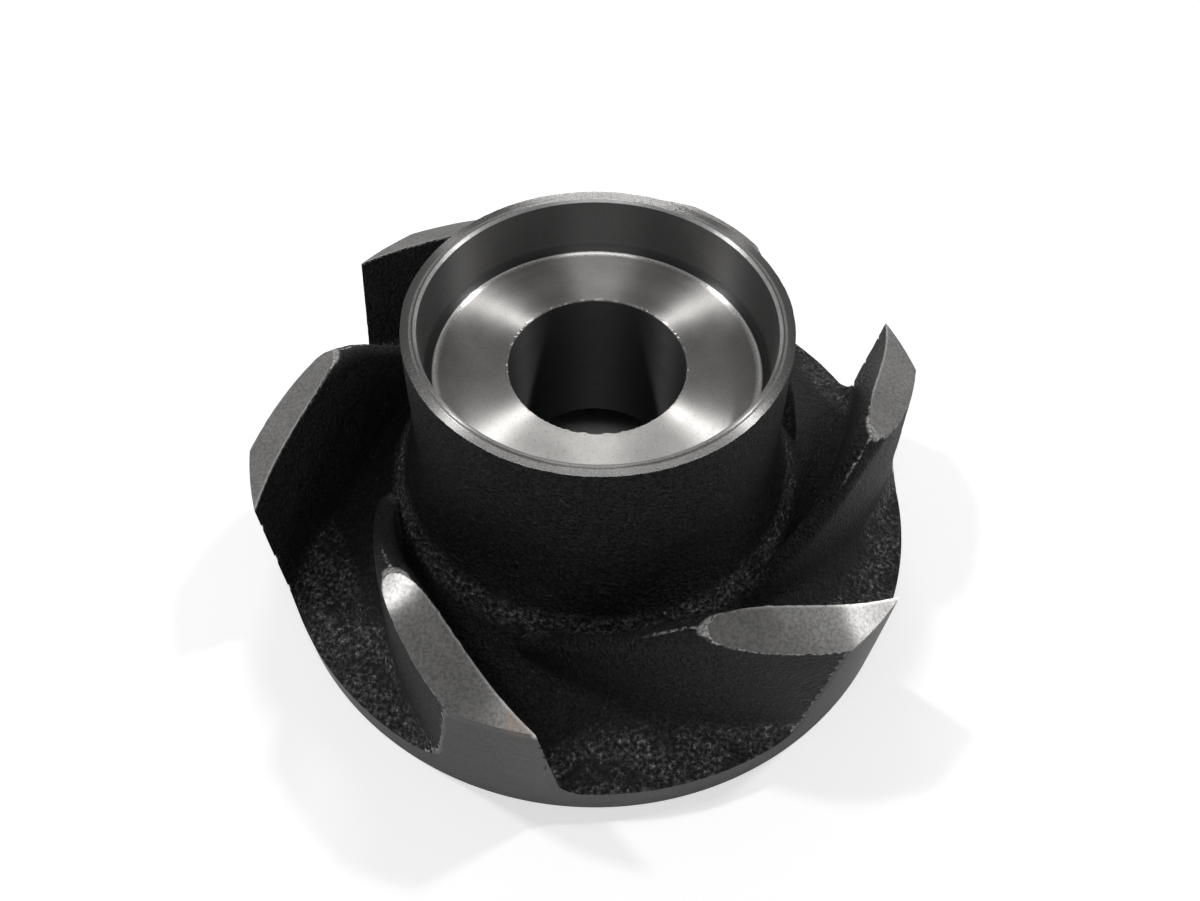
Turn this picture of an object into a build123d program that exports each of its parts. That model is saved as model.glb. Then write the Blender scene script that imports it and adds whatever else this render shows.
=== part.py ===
"""Pump impeller: one iron casting with six swept vanes, a turned seal cup and a shaft bore.

Frame: millimetres, +Z up along the shaft axis, origin on the axis in the plane of the back face.
Azimuths are degrees about +Z from +X. Seen from above, the vanes run clockwise as they go inward.
"""
from build123d import *
from math import cos, radians, sin, tan
import os

# Turned faces
outer_diameter = 100.0
overall_height = 45.1
cup_outer_diameter = 52.1
seal_seat_diameter = 48.0
seal_seat_depth = 9.0
seal_seat_chamfer = 0.35
seal_seat_fillet = 1.5
bore_diameter = 25.0
bore_chamfer = 0.3
vane_face_height = 25.9     # turned vane face where it meets the outer diameter
vane_face_slope = 0.426     # rise of that face towards the axis, mm per mm

# Cast back plate and hub
edge_thickness = 5.5        # back plate at the outer diameter
floor_slope = 0.07          # straight part of the rise of the channel floor towards the axis
neck_diameter = 53.2        # hub where its trumpet runs into the drafted outside of the cup
trumpet_height = 30.0       # height of that place
trumpet_squareness = 2.4    # exponent of the trumpet's curve; 2 is an ellipse
back_recess_diameter = 56.0
back_recess_depth = 11.0
back_recess_fillet = 3.0
back_recess_draft = 3.0     # degrees

# Cast vanes
vane_count = 6
first_vane_azimuth = 17.2   # middle of the first vane at the outer diameter
rim_sweep = 32.0            # degrees between the vane and the rim, at the outer diameter
sweep_fall = 0.336          # by how much that angle falls with each degree of wrap inward
vane_draft = 4.5            # degrees, each flank
root_radius = 3.6           # round between a flank and the channel floor
root_sink = 0.4             # how far that round runs on below the floor
vane_base = 1.0             # height of the buried underside of a vane
# Crest as cast, from outside the rim to the inner end, which is buried in the hub:
# degrees of wrap inward from the rim, crest height, crest width, height of its rounded top
crest_stations = [
    (-20.0, 28.6, 5.2, 1.8),
    (-10.0, 28.8, 5.2, 1.8),
    (0.0, 29.4, 5.3, 1.8),
    (10.0, 30.6, 5.5, 1.8),
    (20.0, 31.3, 5.0, 1.7),
    (30.0, 28.6, 3.8, 1.5),
    (40.0, 23.2, 3.2, 1.3),
    (50.0, 19.0, 3.0, 1.2),
    (60.0, 15.2, 3.0, 1.2),
    (70.0, 11.6, 3.0, 1.2),
]

outer_radius = outer_diameter / 2
neck_radius = neck_diameter / 2
seat_radius = seal_seat_diameter / 2
seat_floor = overall_height - seal_seat_depth
bore_radius = bore_diameter / 2
clear = 30.0                # how far the turning cutters stand clear of the casting
on_floor = (Align.CENTER, Align.CENTER, Align.MIN)


def floor_height(radius):
    """Channel floor of the hub: a shallow cone that curls up to the neck."""
    cone = floor_slope * (outer_radius - radius)
    curl_height = trumpet_height - edge_thickness - floor_slope * (outer_radius - neck_radius)
    run = min(max((outer_radius - radius) / (outer_radius - neck_radius), 0.0), 1.0)
    curl = 1 - (1 - run**trumpet_squareness) ** (1 / trumpet_squareness)
    return edge_thickness + cone + curl_height * curl


def sweep_angle(wrap):
    """Angle in radians between the vane and a circle about the axis."""
    return radians(rim_sweep - sweep_fall * wrap)


def vane_radius(wrap):
    """Radius of the vane's middle line, which crosses each circle at sweep_angle."""
    return outer_radius * (cos(sweep_angle(0)) / cos(sweep_angle(wrap))) ** (1 / sweep_fall)


def turned_blank():
    """Back plate, trumpet and cup, still solid inside."""
    steps = 8
    reach = outer_radius - neck_radius
    radii = [outer_radius - reach * sin(radians(90 * i / steps)) for i in range(steps + 1)]
    floor_points = [(radius, floor_height(radius)) for radius in radii]
    cup_side = Line(floor_points[-1], (cup_outer_diameter / 2, overall_height))
    outline = [
        Spline(*floor_points, tangents=((-1, floor_slope), cup_side % 0)),
        cup_side,
        Line((cup_outer_diameter / 2, overall_height), (0, overall_height)),
        Line((0, overall_height), (0, 0)),
        Line((0, 0), (outer_radius, 0)),
        Line((outer_radius, 0), floor_points[0]),
    ]
    return revolve(Plane.XZ * make_face(outline), Axis.Z)


def vane_section(station):
    """Upright section across a vane: rounded crest, drafted flanks and rounds into the floor."""
    wrap, height, width, crest_round = station
    azimuth = radians(first_vane_azimuth - wrap)
    outward = Vector(cos(azimuth), sin(azimuth))
    around = Vector(-sin(azimuth), cos(azimuth))
    sweep = sweep_angle(wrap)
    along = around * cos(sweep) + outward * sin(sweep)
    across = outward * cos(sweep) - around * sin(sweep)
    middle = outward * vane_radius(wrap)
    shoulder = height - crest_round
    draft = radians(vane_draft)

    def side(sign, floor_place):
        """Flank and root round on one side, the round ending below the floor at floor_place."""
        floor = floor_height(min(floor_place.length, outer_radius))
        foot = min(floor - root_sink, shoulder - root_radius - root_sink)
        half_width = width / 2
        foot_width = half_width + (shoulder - foot - root_radius) * tan(draft)
        flank = Line((sign * half_width, shoulder), (sign * foot_width, foot + root_radius))
        root = TangentArc(flank @ 1, (sign * (foot_width + root_radius), foot), tangent=flank % 1)
        return flank, root

    inner_flank, inner_root = side(-1, middle)
    outer_flank, outer_root = side(1, middle + across * (width / 2 + root_radius))
    crest = ThreePointArc(inner_flank @ 0, (0, height), outer_flank @ 0)
    inner_end = inner_root @ 1
    outer_end = outer_root @ 1
    base = Polyline(inner_end, (inner_end.X, vane_base), (outer_end.X, vane_base), outer_end)
    outline = make_face([crest, inner_flank, inner_root, base, outer_root, outer_flank])
    return Plane(origin=middle, x_dir=across, z_dir=-along) * outline


def cast_vane():
    """First vane as cast, running past the outer diameter so that turning trims it."""
    return loft([vane_section(station) for station in crest_stations])


def vane_face_cutter():
    """All that lies above the conical face turned across the vanes, outside the neck of the hub."""
    outside = outer_radius + clear
    outline = Polyline(
        (outside, vane_face_height - vane_face_slope * clear),
        (outside, overall_height),
        (neck_radius, overall_height),
        (neck_radius, vane_face_height + vane_face_slope * (outer_radius - neck_radius)),
        close=True,
    )
    return revolve(Plane.XZ * make_face(outline), Axis.Z)


def outside_cutter():
    """Ring that trims the vanes and the back plate to the outer diameter."""
    ring = Cylinder(outer_radius + clear, overall_height, align=on_floor)
    return ring - Cylinder(outer_radius, overall_height, align=on_floor)


def seal_cup():
    """Bored seat for the seal, rounded at its floor and chamfered at its mouth."""
    seat = Cylinder(seat_radius, seal_seat_depth + clear, align=on_floor)
    seat = fillet(seat.edges().sort_by(Axis.Z)[0], seal_seat_fillet)
    mouth = Cone(seat_radius, seat_radius + seal_seat_chamfer, seal_seat_chamfer, align=on_floor)
    return Pos(0, 0, seat_floor) * seat + Pos(0, 0, overall_height - seal_seat_chamfer) * mouth


def shaft_bore():
    """Bore through the hub, chamfered where it opens into the seal seat."""
    bore = Cylinder(bore_radius, overall_height, align=on_floor)
    mouth = Cone(bore_radius, bore_radius + bore_chamfer, bore_chamfer, align=on_floor)
    return bore + Pos(0, 0, seat_floor - bore_chamfer) * mouth


def back_recess():
    """Cored hollow in the back face around the end of the bore."""
    radius = back_recess_diameter / 2
    draft = back_recess_depth * tan(radians(back_recess_draft))
    recess = Cone(radius, radius - draft, back_recess_depth, align=on_floor)
    return fillet(recess.edges().sort_by(Axis.Z)[-1], back_recess_fillet)


def impeller():
    first_vane = cast_vane()
    vanes = [first_vane.rotate(Axis.Z, i * 360 / vane_count) for i in range(vane_count)]
    casting = turned_blank() + vanes
    for cutter in (vane_face_cutter(), outside_cutter(), seal_cup(), shaft_bore(), back_recess()):
        casting -= cutter
    return casting


os.makedirs("parts", exist_ok=True)
export_step(impeller(), "parts/impeller.step")
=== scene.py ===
"""Studio scene of the pump impeller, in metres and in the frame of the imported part: +Z is the shaft axis."""
from math import atan, cos, radians, sin

import bmesh
import bpy
import numpy as np
from mathutils import Matrix, Vector, noise


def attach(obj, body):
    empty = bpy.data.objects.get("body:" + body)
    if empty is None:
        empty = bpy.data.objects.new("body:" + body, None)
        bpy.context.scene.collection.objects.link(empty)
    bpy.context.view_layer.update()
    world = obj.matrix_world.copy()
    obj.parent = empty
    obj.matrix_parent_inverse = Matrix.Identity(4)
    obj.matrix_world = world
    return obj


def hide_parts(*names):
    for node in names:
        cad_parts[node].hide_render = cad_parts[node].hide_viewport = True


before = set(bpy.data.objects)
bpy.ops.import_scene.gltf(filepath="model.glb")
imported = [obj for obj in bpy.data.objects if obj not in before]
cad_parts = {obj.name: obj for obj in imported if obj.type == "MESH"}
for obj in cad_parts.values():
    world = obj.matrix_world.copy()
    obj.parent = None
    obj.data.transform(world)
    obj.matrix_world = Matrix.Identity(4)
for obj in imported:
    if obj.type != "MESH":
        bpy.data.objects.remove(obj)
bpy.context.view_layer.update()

MM = 0.001

# Turned faces of the CAD solid, in mm
OUTER_RADIUS = 50.0
OVERALL_HEIGHT = 45.1
CUP_RADIUS = 26.05
SEAT_RADIUS = 24.0
SEAT_FLOOR = 36.1
SEAT_FILLET = 1.5
BORE_RADIUS = 12.5
VANE_FACE_HEIGHT = 25.9
VANE_FACE_SLOPE = 0.426
VANE_FACE_TILT = atan(VANE_FACE_SLOPE)

# How near to a turned face counts as on it, in mm
ON_FACE = 0.06                          # for a vertex
VANE_FACES_FROM = CUP_RADIUS + 6        # the vane faces lie outside this radius
SEAT_FROM = SEAT_FLOOR - 0.5            # the seal seat lies above this height
BORE_WITHIN = BORE_RADIUS + 0.6
TINY = 1e-6                             # keeps a division by a length away from zero

# Mesh of the casting
WELD = 2e-6
OCTREE_DEPTH = 8
TRIANGLES = 185000
SHARP_ANGLE = radians(38)
RELIEF = (  # layers of the cast skin in mm: size of the lumps, height, seed offset
    (9.0, 0.10, 11.0),
    (3.2, 0.07, 37.0),
    (1.1, 0.06, 71.0),
)

# Masks in the materials, in metres: where each starts, and where it is full
VANES_OUT = (0.0325, 0.0340)            # radius
VANE_FACES_UP = (0.0240, 0.0255)        # height
CHANNEL_FLOOR_DOWN = (0.0100, 0.0068)
PATCH_OUT = (0.0425, 0.0465)
FOOT_UP, FOOT_DOWN, FOOT_IN = (0.0125, 0.0145), (0.0172, 0.0155), (0.0335, 0.0318)
SEAT_IN, SEAT_UP = (0.0250, 0.0246), (0.0350, 0.0358)
SEAT_CORNER_OUT = (0.0220, 0.0222)
SEAT_WALL_OUT = (0.02290, 0.02305)
HIGH_WALL_UP = (0.0368, 0.0374)
CUP_TOP_UP = (0.04470, 0.04478)
EDGE_IN, LAND_OUT = (0.02445, 0.02437), (0.02437, 0.02445)
BORE_IN, BORE_DOWN = (0.0130, 0.0127), (0.0360, 0.0357)
RIM_OUT = (0.0494, 0.0498)

# Places where a vane face leans a little, and so catches a lamp: centre, radius (m), how far and which way it leans
VANE_FACE_SPOTS = (
    ((-0.0248, -0.0318, 0.0300), 0.0060, (-0.048, 0.036, 0.0)),
    ((0.0362, -0.0335, 0.0263), 0.0055, (0.022, 0.024, 0.0)),
)
WIDE_PATCH = (-0.0380, -0.0260, 0.0060)     # where the painted highlight on a channel floor reaches furthest in
STAIN = (-0.0080, -0.0484, 0.0262)          # a rusty spot on the burr of one vane
RUST = (0.42, 0.29, 0.20, 1)

# Camera
CAMERA_ELEVATION, CAMERA_ROLL = radians(52.909), radians(1.640)
CAMERA_PLACE = (0.000706, -0.090816, 0.135894)
SENSOR_WIDTH, FOCAL_LENGTH = 36, 28.85

# Lamps: name, direction from the impeller, width (m), power (W)
LAMPS = (
    ("lamp_left", (-0.50, 0.22, 0.84), 0.06, 1.5),
    ("lamp_right", (0.48, 0.31, 0.82), 0.06, 1.4),
    ("lamp_behind", (0.0, 0.86, 0.50), 0.22, 1.1),
    ("lamp_above", (0.0, -0.30, 0.95), 0.40, 1.1),
)
LAMP_DISTANCE = 0.9
LAMP_TARGET = (0, 0, 0.02)

# Room: its walls are white up to WALL_TOP, and fade into the ceiling by CEILING (sines of elevations)
WALL_TOP = 0.15
CEILING = 0.60
CEILING_LEVEL = 0.14

# Floor, in metres
FLOOR_HALF = 3.0
NEAR_LIFT = (0.030, 0.048, 0.0, 0.42)       # from radius, to radius, from level, to level
FAR_LIFT = (0.25, 1.20, 0.0, 0.50)


def evaluated(obj):
    """A new mesh of an object with its modifiers applied."""
    graph = bpy.context.evaluated_depsgraph_get()
    return bpy.data.meshes.new_from_object(obj.evaluated_get(graph))


def remeshed(node):
    """The CAD node's form as an even mesh with its sharp edges kept, in a new mesh."""
    mesh = node.data.copy()
    bm = bmesh.new()
    bm.from_mesh(mesh)
    bmesh.ops.remove_doubles(bm, verts=bm.verts, dist=WELD)
    bm.to_mesh(mesh)
    bm.free()
    holder = bpy.data.objects.new("remesh", mesh)
    bpy.context.collection.objects.link(holder)
    remesh = holder.modifiers.new("remesh", "REMESH")
    remesh.mode = "SHARP"
    remesh.octree_depth = OCTREE_DEPTH
    remesh.scale = 0.95
    remesh.sharpness = 1.0
    even = evaluated(holder)
    bpy.data.objects.remove(holder)
    return even


def read(items, attribute, width=3, kind=float):
    """An attribute of a mesh's items as an array, with a row for each item, or a number for each if width is 1."""
    values = np.empty(len(items) * width, kind)
    items.foreach_get(attribute, values)
    return values.reshape(-1, width) if width > 1 else values


def radii(points):
    """Distance of each point from the shaft axis."""
    return np.hypot(points[:, 0], points[:, 1])


def vane_face(radius):
    """Height of the turned vane face at a radius."""
    return VANE_FACE_HEIGHT + VANE_FACE_SLOPE * (OUTER_RADIUS - radius)


def cast_relief(points):
    """How far the cast skin stands out from the plain form at each point, in mm."""
    relief = np.zeros(len(points))
    for size, height, offset in RELIEF:
        scaled = points / size + offset
        relief += height * np.array([noise.noise(p) for p in scaled.tolist()])
    return relief


def roughen(mesh):
    """Gives the cast faces their uneven skin, and puts the turned faces back on their exact surfaces."""
    points = read(mesh.vertices, "co") / MM
    radius, height = radii(points), points[:, 2]
    on_rim = OUTER_RADIUS - radius < ON_FACE
    on_vane_face = (abs(height - vane_face(radius)) < ON_FACE) & (radius > VANE_FACES_FROM)
    on_back = height < ON_FACE
    on_top = OVERALL_HEIGHT - height < ON_FACE
    inside_cup = (radius < SEAT_RADIUS + 1.2) & (height > SEAT_FROM)
    relief = cast_relief(points)
    relief[inside_cup | (radius < BORE_WITHIN)] = 0
    moved = points + read(mesh.vertices, "normal") * relief[:, None]
    new_radius = radii(moved)
    moved[on_rim, :2] *= (OUTER_RADIUS / new_radius[on_rim])[:, None]
    moved[:, :2] *= np.minimum(1, OUTER_RADIUS / np.maximum(radii(moved), TINY))[:, None]
    moved[on_vane_face, 2] = vane_face(np.minimum(new_radius, OUTER_RADIUS)[on_vane_face])
    moved[on_back, 2] = 0
    moved[on_top, 2] = OVERALL_HEIGHT
    moved[:, 2] = np.clip(moved[:, 2], 0, OVERALL_HEIGHT)
    mesh.vertices.foreach_set("co", (moved * MM).ravel())
    mesh.update()


def turned_faces(mesh):
    """Which polygons of the mesh are turned, as an array of True and False."""
    centres, normals = read(mesh.polygons, "center") / MM, read(mesh.polygons, "normal")
    radius, height = radii(centres), centres[:, 2]
    outward = (normals[:, :2] * centres[:, :2]).sum(1) / np.maximum(radius, TINY)
    up_cone = normals[:, 2] * cos(VANE_FACE_TILT) + outward * sin(VANE_FACE_TILT)
    return (
        ((OUTER_RADIUS - radius < 0.35) & (outward > 0.75))
        | ((abs(height - vane_face(radius)) < 0.15) & (radius > VANE_FACES_FROM) & (up_cone > 0.95))
        | ((height < 0.1) & (normals[:, 2] < -0.9))
        | ((OVERALL_HEIGHT - height < 0.1) & (normals[:, 2] > 0.9))
        | ((radius < SEAT_RADIUS + 1.0) & (height > SEAT_FROM))
        | (radius < BORE_WITHIN)
    )


def exact_normals(mesh, turned):
    """Gives the corners of the turned faces the normals of the exact surfaces on which they lie."""
    normals = read(mesh.corner_normals, "vector")
    vertex = read(mesh.loops, "vertex_index", 1, int)
    sides = read(mesh.polygons, "loop_total", 1, int)
    faces = np.repeat(read(mesh.polygons, "normal"), sides, axis=0)
    centres = np.repeat(read(mesh.polygons, "center") / MM, sides, axis=0)
    turned = np.repeat(turned, sides)
    reach, level = radii(centres), centres[:, 2]
    points = (read(mesh.vertices, "co") / MM)[vertex]
    radius, height = radii(points)[:, None], points[:, 2][:, None]
    outward = np.column_stack([points[:, :2] / np.maximum(radius, TINY), np.zeros(len(points))])
    up = np.zeros_like(outward)
    up[:, 2] = 1
    fillet = (SEAT_RADIUS - SEAT_FILLET - radius) * outward + (SEAT_FLOOR + SEAT_FILLET - height) * up
    fillet /= np.maximum(np.linalg.norm(fillet, axis=1), TINY)[:, None]
    in_fillet = (reach > SEAT_RADIUS - SEAT_FILLET) & (level < SEAT_FLOOR + SEAT_FILLET) & (level > SEAT_FLOOR)
    for exact, where in (
        (up, ~in_fillet),
        (-up, True),
        (outward, reach > OUTER_RADIUS - 1),
        (-outward, ~in_fillet),
        (outward * sin(VANE_FACE_TILT) + up * cos(VANE_FACE_TILT), (reach > VANE_FACES_FROM) & (level > 20)),
        (fillet, in_fillet & (reach < SEAT_RADIUS + 0.5)),
    ):
        close = ((exact * faces).sum(1) > 0.95) & where & turned
        normals[close] = exact[close]
    mesh.normals_split_custom_set(normals)


def impeller():
    """The casting as a piece of its own: uneven cast skin, exact turned faces."""
    even = remeshed(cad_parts["impeller"])
    roughen(even)
    piece = bpy.data.objects.new("impeller_casting", even)
    bpy.context.collection.objects.link(piece)
    decimate = piece.modifiers.new("decimate", "DECIMATE")
    decimate.ratio = TRIANGLES / (2 * len(even.polygons))
    mesh = evaluated(piece)
    piece.data = mesh
    piece.modifiers.clear()
    mesh.name = "impeller_casting"
    turned = turned_faces(mesh)
    mesh.materials.clear()
    mesh.materials.append(cast_skin())
    mesh.materials.append(turned_iron())
    mesh.polygons.foreach_set("material_index", turned.astype(int))
    mesh.polygons.foreach_set("use_smooth", np.ones(len(turned), bool))
    mesh.set_sharp_from_angle(angle=SHARP_ANGLE)
    exact_normals(mesh, turned)
    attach(piece, "root")
    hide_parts("impeller")


class Nodes:
    """Adds nodes to a material and links them."""

    def __init__(self, name):
        self.material = bpy.data.materials.new(name)
        self.material.use_nodes = True
        self.tree = self.material.node_tree
        self.tree.nodes.clear()
        self.output = self.add("OutputMaterial")

    def add(self, kind, inputs=None, **settings):
        """A shader node of a kind, with its settings, and its inputs set or linked."""
        node = self.tree.nodes.new("ShaderNode" + kind)
        for key, value in settings.items():
            setattr(node, key, value)
        for key, value in (inputs or {}).items():
            self.join(value, node.inputs[key])
        return node

    def join(self, value, socket):
        """Links value into socket if it is an output, and sets it as the socket's own value otherwise."""
        if isinstance(value, bpy.types.NodeSocket):
            self.tree.links.new(value, socket)
        else:
            socket.default_value = value

    def math(self, operation, *values, clamp=False):
        """The result of a Math node."""
        return self.add("Math", dict(enumerate(values)), operation=operation, use_clamp=clamp).outputs[0]

    def times(self, first, *others):
        """The product of values."""
        for value in others:
            first = self.math("MULTIPLY", first, value)
        return first

    def vector(self, operation, *vectors):
        """The vector that a Vector Math node makes."""
        return self.add("VectorMath", dict(enumerate(vectors)), operation=operation).outputs["Vector"]

    def measure(self, operation, *vectors):
        """The number that a Vector Math node makes, such as a distance."""
        return self.add("VectorMath", dict(enumerate(vectors)), operation=operation).outputs["Value"]

    def ramp(self, value, low, high, to_low=0.0, to_high=1.0):
        """value mapped smoothly from low..high to to_low..to_high."""
        node = self.add("MapRange", {0: value, 1: low, 2: high, 3: to_low, 4: to_high})
        node.interpolation_type = "SMOOTHSTEP"
        return node.outputs[0]

    def mix(self, factor, first, second):
        """A colour between first and second."""
        return self.add("Mix", {0: factor, 6: first, 7: second}, data_type="RGBA").outputs[2]

    def bump(self, height, distance, strength=1.0, **more):
        """A normal that follows a height; distance is in metres."""
        return self.add("Bump", {"Strength": strength, "Distance": distance, "Height": height, **more}).outputs[0]

    def coordinates(self, vector):
        """The x, y and z of a vector."""
        return self.add("SeparateXYZ", {0: vector}).outputs[:3]

    def radius(self, x, y):
        """Distance from the shaft axis."""
        return self.math("SQRT", self.math("ADD", self.times(x, x), self.times(y, y)))

    def noise(self, vector, scale, detail=2.0, roughness=0.5):
        """Value of a noise texture; scale is in lumps per metre."""
        inputs = {"Vector": vector, "Scale": scale, "Detail": detail, "Roughness": roughness}
        return self.add("TexNoise", inputs).outputs["Fac"]

    def surface(self, **inputs):
        """The material, with a principled surface; an underscore in an input's name stands for a space."""
        shader = self.add("BsdfPrincipled", {key.replace("_", " "): value for key, value in inputs.items()})
        self.join(shader.outputs[0], self.output.inputs["Surface"])
        return self.material


def grey(level, warmth=0.0):
    """An almost neutral colour; warmth lifts red over blue."""
    return (level * (1 + warmth), level, level * (1 - warmth), 1.0)


def cast_skin():
    """Near-black sand-cast iron: gritty, with painted glints as bright specks, a painted highlight as paler grit on
    the channel floors near the rim and at the foot of the hub, and bare metal under the turned vane faces with a
    painted highlight along the crests.
    """
    n = Nodes("cast_iron_skin")
    place = n.add("TexCoord").outputs["Object"]
    x, y, z = n.coordinates(place)
    radius = n.radius(x, y)
    cloud = n.noise(place, 180.0, 3.0, 0.6)
    grain = n.noise(place, 1600.0, 3.0, 0.7)
    grit = n.noise(place, 2400.0, 2.0, 0.6)

    # Painted highlight: paler grit on the channel floors near the rim, and around the foot of the hub
    reach = n.math("MULTIPLY_ADD", n.noise(place, 45.0, 1.0, 0.5), 0.018, -0.009)
    reach = n.math("ADD", reach, n.ramp(n.measure("DISTANCE", place, WIDE_PATCH), 0.020, 0.008, 0.0, 0.006))
    near_rim = n.ramp(n.math("ADD", radius, reach), *PATCH_OUT)
    patches = n.times(n.ramp(z, *CHANNEL_FLOOR_DOWN), near_rim, n.ramp(cloud, 0.32, 0.55, 0.15, 1.0))
    foot = n.times(n.ramp(z, *FOOT_UP), n.ramp(z, *FOOT_DOWN), n.ramp(radius, *FOOT_IN),
                   n.ramp(cloud, 0.30, 0.55, 0.5, 1.0))
    painted_highlight = n.math("MAXIMUM", patches, foot)
    dark = n.mix(n.ramp(grit, 0.40, 0.64), grey(0.004), grey(0.022, 0.02))
    pale = n.mix(n.ramp(grain, 0.42, 0.62), grey(0.010), grey(0.12, 0.02))
    colour = n.mix(painted_highlight, dark, pale)
    # Painted glints: bright specks, faint all over and full where the painted highlight is
    painted_glints = n.times(n.ramp(grain, 0.62, 0.70), n.ramp(painted_highlight, 0.0, 1.0, 0.12, 1.0))
    colour = n.mix(painted_glints, colour, grey(0.45))

    # Bare metal just under the turned vane faces and at their inner tips; along the crests that run inward from them
    # the same bare-metal colour is a painted highlight
    normal = n.add("NewGeometry").outputs["Normal"]
    outward = n.vector("NORMALIZE", n.vector("MULTIPLY", place, (1, 1, 0)))
    lean = n.measure("DOT_PRODUCT", normal, outward)
    level = n.ramp(n.coordinates(normal)[2], 0.70, 0.78)
    face_at_axis = (VANE_FACE_HEIGHT + VANE_FACE_SLOPE * OUTER_RADIUS) * MM
    depth = n.math("SUBTRACT", n.math("MULTIPLY_ADD", radius, -VANE_FACE_SLOPE, face_at_axis), z)
    edge = n.ramp(depth, 0.00045, 0.00015)
    tip = n.times(n.ramp(depth, 0.0009, 0.0004), level)
    crest = n.ramp(n.math("ABSOLUTE", n.math("ADD", lean, 0.08)), 0.10, 0.04)
    crest = n.times(crest, level, n.ramp(depth, 0.0075, 0.0035))
    broken = n.times(n.math("MAXIMUM", edge, crest), n.ramp(grain, 0.42, 0.58))
    bare_and_highlight = n.times(n.math("MAXIMUM", broken, tip), n.ramp(radius, *VANES_OUT))
    colour = n.mix(bare_and_highlight, colour, n.mix(n.ramp(grit, 0.40, 0.60), grey(0.34, 0.02), grey(0.60, 0.02)))

    height = n.math("ADD", n.times(grain, 0.7), n.times(grit, 0.45))
    return n.surface(Base_Color=colour, Metallic=bare_and_highlight, Roughness=n.ramp(grit, 0.3, 0.7, 0.34, 0.58),
                     Normal=n.bump(height, 0.0010), Specular_IOR_Level=0.25)


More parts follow.
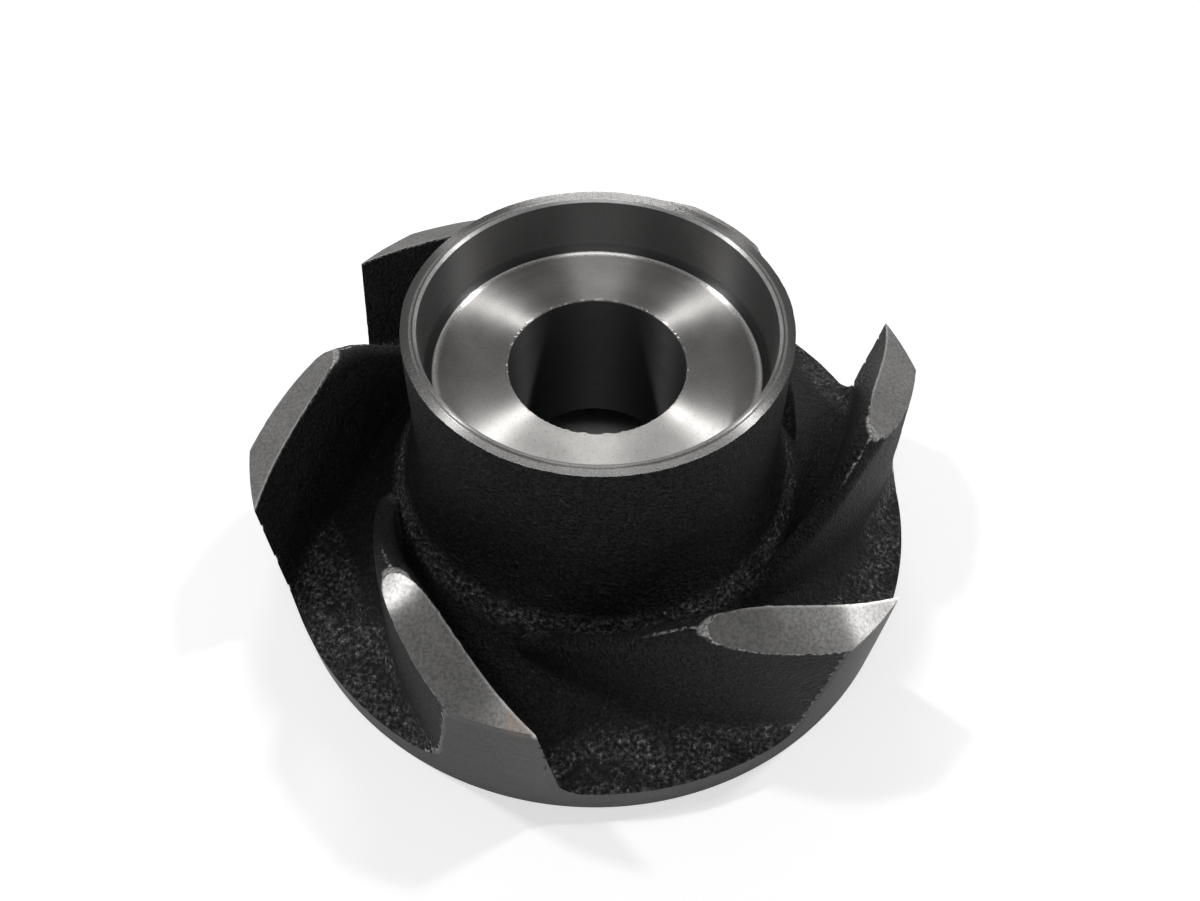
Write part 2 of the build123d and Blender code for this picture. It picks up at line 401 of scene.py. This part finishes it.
def turned_iron():
    """Turned grey iron: fine rings about the shaft, which draw the highlights out across them."""
    n = Nodes("turned_iron")
    place = n.add("TexCoord").outputs["Object"]
    x, y, z = n.coordinates(place)
    radius = n.radius(x, y)
    rings_at = n.add("CombineXYZ", {0: radius, 1: z}).outputs[0]
    fine = n.noise(rings_at, 5200.0, 2.0, 0.6)
    broad = n.noise(rings_at, 900.0, 2.0, 0.5)
    cloud = n.noise(place, 260.0, 3.0, 0.6)
    grain = n.noise(place, 2600.0, 2.0, 0.6)
    mottle = n.noise(place, 2200.0, 3.0, 0.75)

    # The turned surfaces
    in_seat = n.times(n.ramp(radius, *SEAT_IN), n.ramp(z, *SEAT_UP))
    in_corner = n.times(n.ramp(radius, *SEAT_CORNER_OUT), in_seat)
    on_wall = n.times(n.ramp(radius, *SEAT_WALL_OUT), in_seat)
    on_high_wall = n.times(n.ramp(z, *HIGH_WALL_UP), in_seat)
    # The mouth edge fades towards the front: a painted highlight, lighter at the back
    on_edge = n.times(n.ramp(z, *CUP_TOP_UP), n.ramp(radius, *EDGE_IN), n.ramp(y, -0.012, 0.0, 0.1, 1.0))
    on_land = n.times(n.ramp(z, *CUP_TOP_UP), n.ramp(radius, *LAND_OUT))
    in_bore = n.times(n.ramp(radius, *BORE_IN), n.ramp(z, *BORE_DOWN))
    upright = n.math("ABSOLUTE", n.coordinates(n.add("NewGeometry").outputs["Normal"])[2])
    at_rim = n.times(n.ramp(radius, *RIM_OUT), n.ramp(upright, 0.6, 0.4))
    outside = n.ramp(radius, *VANES_OUT)
    on_vane = n.times(outside, n.ramp(z, *VANE_FACES_UP))

    # Tones set to how each turned face is lit: painted highlight on the seat floor, its corner ring and the back of
    # the cup's mouth edge; painted shade on the seat wall, the bore, the land and the rim band. Then darker clouds,
    # mottle and pores
    colour = grey(0.50, 0.02)
    for mask, level, warmth in (
        (in_seat, 0.66, 0.03), (in_corner, 0.90, 0.02), (on_wall, 0.085, 0.01), (on_high_wall, 0.155, 0.01),
        (on_land, 0.33, 0.02), (on_edge, 0.80, 0.01), (in_bore, 0.10, 0.0), (at_rim, 0.17, 0.01),
    ):
        colour = n.mix(mask, colour, grey(level, warmth))
    colour = n.mix(n.ramp(cloud, 0.3, 0.7, 0.0, 0.14), colour, grey(0.10))
    colour = n.mix(n.times(n.ramp(mottle, 0.40, 0.62), outside, 0.40), colour, grey(0.09))
    colour = n.mix(n.times(n.ramp(grain, 0.55, 0.75), 0.3), colour, grey(0.08))

    # Painted highlight along the burr on the vane edges that lead anticlockwise, and a rusty spot
    around = n.vector("NORMALIZE", n.vector("CROSS_PRODUCT", (0, 0, 1), place))
    rounded = n.add("Bevel", {"Radius": 0.0006}).outputs[0]
    ahead = n.ramp(n.measure("DOT_PRODUCT", rounded, around), 0.05, 0.22)
    colour = n.mix(n.times(ahead, on_vane, n.ramp(grain, 0.30, 0.50)), colour, grey(0.90, 0.02))
    stain = n.ramp(n.measure("DISTANCE", place, STAIN), 0.0028, 0.0008)
    colour = n.mix(n.times(stain, n.ramp(grain, 0.25, 0.65), 0.45), colour, RUST)

    roughness = n.math("ADD", n.ramp(broad, 0.3, 0.7, 0.38, 0.43), n.ramp(grain, 0.3, 0.7, -0.03, 0.03))
    corner_only = n.math("SUBTRACT", in_corner, on_wall)
    for mask, share in ((corner_only, 0.75), (on_vane, 0.88), (on_land, 0.70), (in_bore, 1.7)):
        roughness = n.times(roughness, n.ramp(mask, 0.0, 1.0, 1.0, share))

    # Rings, the seat floor's turned-up corner, and a slight unevenness of the vane faces
    normal = n.bump(fine, 0.00002, 0.15)
    turn_up = n.math("MULTIPLY_ADD", radius, 1000.0, -21.9, clamp=True)
    normal = n.bump(n.times(turn_up, turn_up, in_seat), 0.00035, Normal=normal)
    normal = n.bump(n.times(n.noise(place, 110.0, 1.0, 0.4), on_vane), 0.00018, Normal=normal)
    for spot, size, lean in VANE_FACE_SPOTS:
        share = n.ramp(n.measure("DISTANCE", place, spot), size, size * 0.4)
        turn = n.add("VectorMath", {0: lean, "Scale": share}, operation="SCALE").outputs[0]
        normal = n.vector("ADD", normal, turn)
    tangent = n.add("Tangent", direction_type="RADIAL", axis="Z").outputs[0]
    return n.surface(Base_Color=colour, Metallic=1.0, Roughness=roughness, Normal=n.vector("NORMALIZE", normal),
                     Tangent=tangent, Anisotropic=1.0, Anisotropic_Rotation=0.25)


def camera():
    """The camera of the photograph, worked out from the object's turned circles."""
    right = Vector((1, 0, 0))
    up = Vector((0, sin(CAMERA_ELEVATION), cos(CAMERA_ELEVATION)))
    back = Vector((0, -cos(CAMERA_ELEVATION), sin(CAMERA_ELEVATION)))
    across = cos(CAMERA_ROLL) * right + sin(CAMERA_ROLL) * up
    above = cos(CAMERA_ROLL) * up - sin(CAMERA_ROLL) * right
    lens = bpy.data.cameras.new("camera")
    lens.sensor_width = SENSOR_WIDTH
    lens.lens = FOCAL_LENGTH
    lens.clip_start = 0.01
    holder = bpy.data.objects.new("camera", lens)
    bpy.context.collection.objects.link(holder)
    turn = Matrix((across, above, back)).transposed().to_4x4()
    holder.matrix_world = Matrix.Translation(CAMERA_PLACE) @ turn
    bpy.context.scene.camera = holder


def lamp(name, direction, size, watts):
    """A square soft lamp in a direction from the impeller, which it looks at."""
    light = bpy.data.lights.new(name, "AREA")
    light.size = size
    light.energy = watts
    holder = bpy.data.objects.new(name, light)
    bpy.context.collection.objects.link(holder)
    towards = Vector(direction).normalized()
    holder.location = Vector(LAMP_TARGET) + towards * LAMP_DISTANCE
    holder.rotation_euler = towards.to_track_quat("Z", "Y").to_euler()


def studio():
    """Soft lamps high up to the left and right, behind and above, in a room with white walls and a dim ceiling."""
    for settings in LAMPS:
        lamp(*settings)
    world = bpy.data.worlds.new("room")
    bpy.context.scene.world = world
    world.use_nodes = True
    tree = world.node_tree
    tree.nodes.clear()
    where = tree.nodes.new("ShaderNodeTexCoord")
    parts = tree.nodes.new("ShaderNodeSeparateXYZ")
    tree.links.new(where.outputs["Generated"], parts.inputs[0])
    strength = tree.nodes.new("ShaderNodeMapRange")
    strength.interpolation_type = "SMOOTHSTEP"
    tree.links.new(parts.outputs[2], strength.inputs[0])
    for socket, value in zip(strength.inputs[1:5], (WALL_TOP, CEILING, 1.0, CEILING_LEVEL)):
        socket.default_value = value
    background = tree.nodes.new("ShaderNodeBackground")
    background.inputs[0].default_value = (1, 1, 1, 1)
    tree.links.new(strength.outputs[0], background.inputs[1])
    out = tree.nodes.new("ShaderNodeOutputWorld")
    tree.links.new(background.outputs[0], out.inputs[0])
    bpy.context.scene.view_settings.view_transform = "Standard"


def floor():
    """A white floor that runs out of view; seen directly it is lifted towards white, so its shadows stay pale."""
    mesh = bpy.data.meshes.new("floor")
    corners = [(-FLOOR_HALF, -FLOOR_HALF, 0), (FLOOR_HALF, -FLOOR_HALF, 0),
               (FLOOR_HALF, FLOOR_HALF, 0), (-FLOOR_HALF, FLOOR_HALF, 0)]
    mesh.from_pydata(corners, [], [(0, 1, 2, 3)])
    plane = bpy.data.objects.new("floor", mesh)
    bpy.context.collection.objects.link(plane)
    n = Nodes("white_floor")
    x, y, _ = n.coordinates(n.add("TexCoord").outputs["Object"])
    radius = n.radius(x, y)
    seen = n.add("LightPath").outputs["Is Camera Ray"]
    lift = n.times(seen, n.math("ADD", n.ramp(radius, *NEAR_LIFT), n.ramp(radius, *FAR_LIFT)))
    mesh.materials.append(n.surface(Base_Color=(0.93, 0.93, 0.93, 1), Roughness=0.9,
                                    Emission_Color=(1, 1, 1, 1), Emission_Strength=lift))


camera()
impeller()
floor()
studio()
